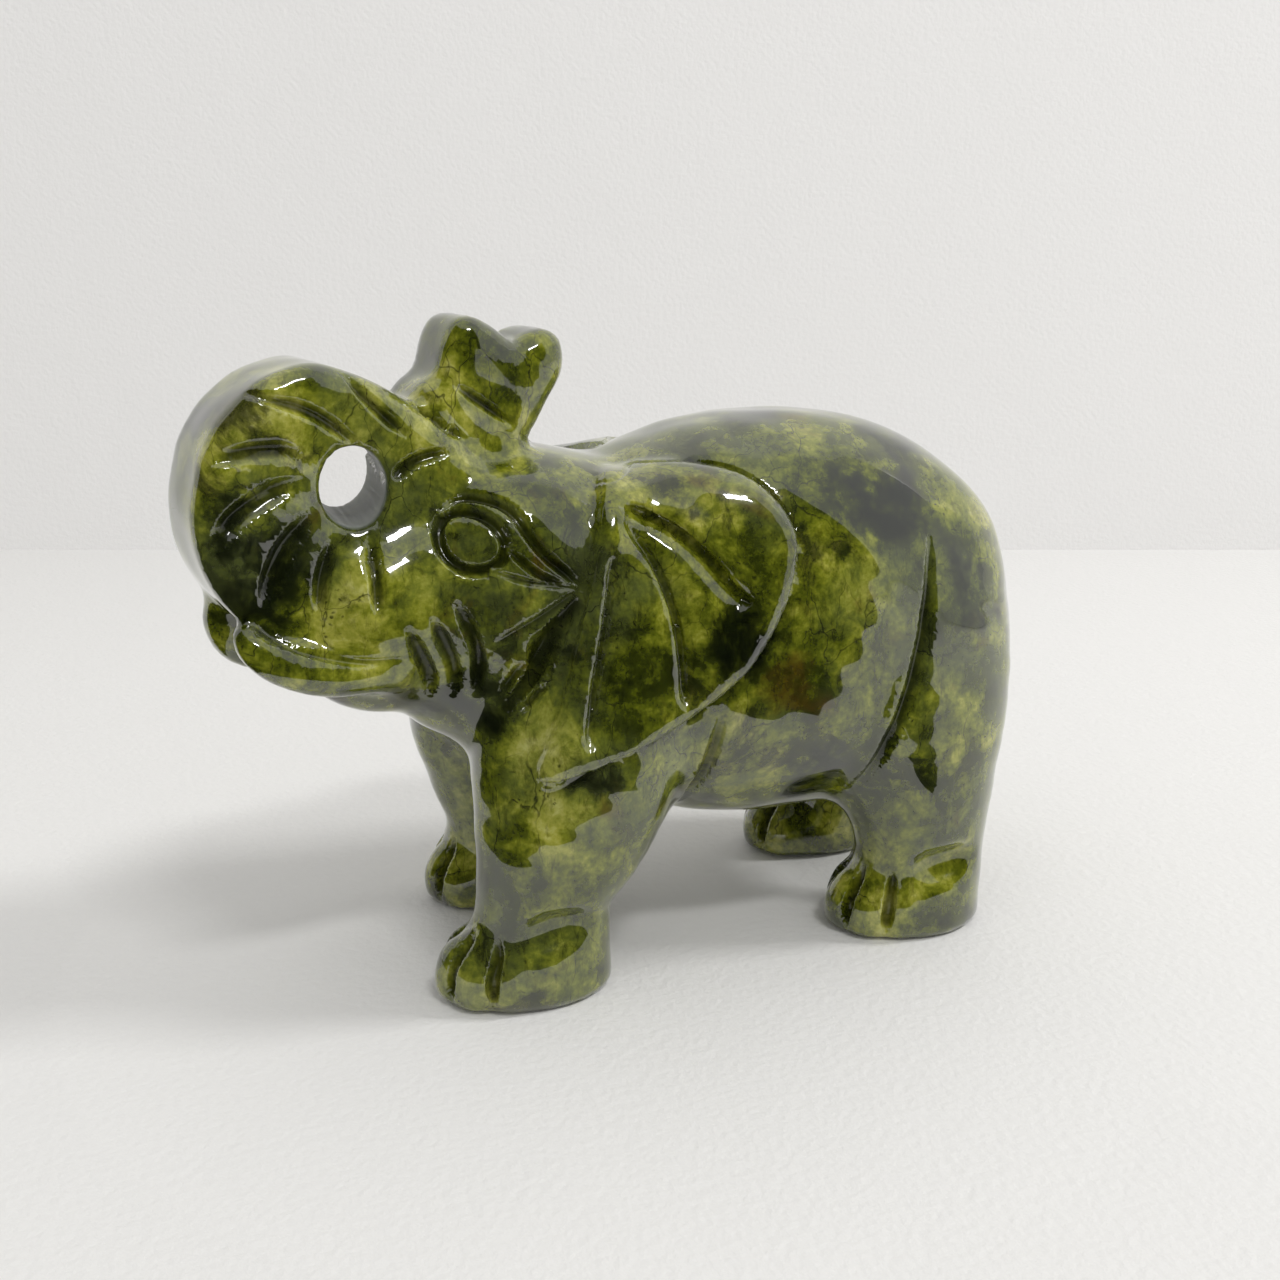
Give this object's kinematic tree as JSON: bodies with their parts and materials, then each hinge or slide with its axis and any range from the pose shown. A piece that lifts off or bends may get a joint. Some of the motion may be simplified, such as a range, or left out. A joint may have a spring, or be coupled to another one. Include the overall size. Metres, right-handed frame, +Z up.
{
  "type": "carved jade elephant",
  "caption": "Polished green jade elephant carved from one stone, trunk curled up in a loop with a drilled hole, standing on flat soles.",
  "frame": {"origin": "centre of the bounding box in X and Y, on the plane of the four soles", "axes": "+Z up, -X the way the elephant faces, -Y the elephant's left side"},
  "size_m": [0.0994, 0.0462, 0.0748],
  "materials": {
    "polished_jade": "polished"
  },
  "bodies": {
    "root": {"carved_elephant": "polished_jade"}
  },
  "joints": []
}
